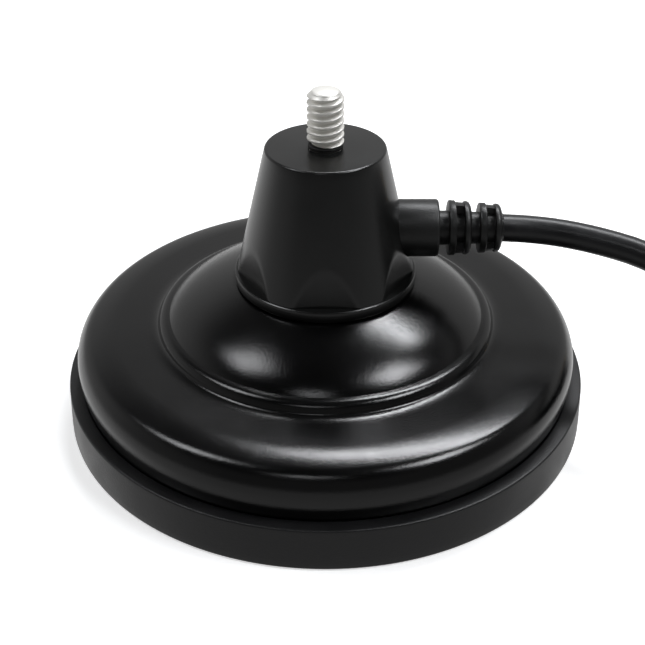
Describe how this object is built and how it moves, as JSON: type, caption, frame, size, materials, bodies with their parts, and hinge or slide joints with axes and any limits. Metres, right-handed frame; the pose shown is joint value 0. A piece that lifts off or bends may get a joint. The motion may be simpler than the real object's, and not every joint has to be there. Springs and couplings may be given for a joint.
{
  "type": "magnetic mount antenna base",
  "caption": "Round magnetic antenna base with a conical hub, an upright threaded stud, and a coaxial lead wound in a coil that ends in a coaxial plug.",
  "frame": {"origin": "centre of the rubber boot's underside, on the surface that the base stands on", "axes": "+Z along the antenna stud, away from the surface; +X towards the side where the coaxial lead leaves the hub"},
  "size_m": [0.2149, 0.0983, 0.0618],
  "materials": {
    "boot_rubber": "matt-satin moulded rubber with a crisp top edge",
    "cup_paint": "satin-gloss black stove enamel with fine orange peel",
    "ferrite": "dull sintered ferrite",
    "adhesive": "cured epoxy",
    "plate_steel": "zinc plated",
    "spacer_plastic": "natural polypropylene",
    "hub_plastic": "semi-gloss moulded ABS",
    "gasket_rubber": "matt",
    "bush_brass": "turned",
    "nut_steel": "zinc plated",
    "screw_steel": "zinc plated",
    "stud_metal": "bright nickel plated thread",
    "seal_rubber": "satin",
    "lug_tin": "tinned brass",
    "copper_wire": "bare copper",
    "tinned_braid": "tinned copper braid",
    "polyethylene": "translucent natural polyethylene",
    "cable_pvc": "satin PVC jacket",
    "relief_pvc": "satin moulded PVC",
    "tie_fabric": "woven hook-and-loop strap",
    "plug_boot_rubber": "satin moulded rubber",
    "plug_gold": "gold plated brass",
    "silicone": "silicone ring",
    "ptfe": "white PTFE"
  },
  "bodies": {
    "base": {"rubber_boot": "boot_rubber", "steel_cup": "cup_paint", "ring_magnet": "ferrite", "magnet_adhesive": "adhesive", "pole_plate": "plate_steel", "magnet_spacer": "spacer_plastic", "hub_body": "hub_plastic", "hub_gasket": "gasket_rubber", "hub_bush": "bush_brass", "hub_nut": "nut_steel", "lock_washer": "nut_steel", "hub_screws": "screw_steel", "antenna_stud": "stud_metal", "stud_seal": "seal_rubber", "stud_lug": "lug_tin", "stud_nut": "nut_steel", "ground_tag": "lug_tin", "braid_pigtail": "tinned_braid", "centre_conductor": "copper_wire", "cable_core": "polyethylene", "lead_in_jacket": "cable_pvc", "strain_relief": "relief_pvc", "coax_cable": "cable_pvc", "cable_coil": "cable_pvc", "coil_ties": "tie_fabric", "cable_tail": "cable_pvc", "connector_boot": "plug_boot_rubber", "connector_ferrule": "plug_gold", "connector_body": "plug_gold", "retaining_ring": "plug_gold", "connector_gasket": "silicone", "connector_dielectric": "ptfe", "connector_pin": "plug_gold"},
    "plug_nut": {"coupling_nut": "plug_gold"}
  },
  "joints": [
    {"name": "coupling_nut_spin", "type": "hinge", "parent": "base", "child": "plug_nut", "pos_m": [0.105, 0.04, 0.02535], "axis": [-1, 0, 0], "continuous": true}
  ]
}
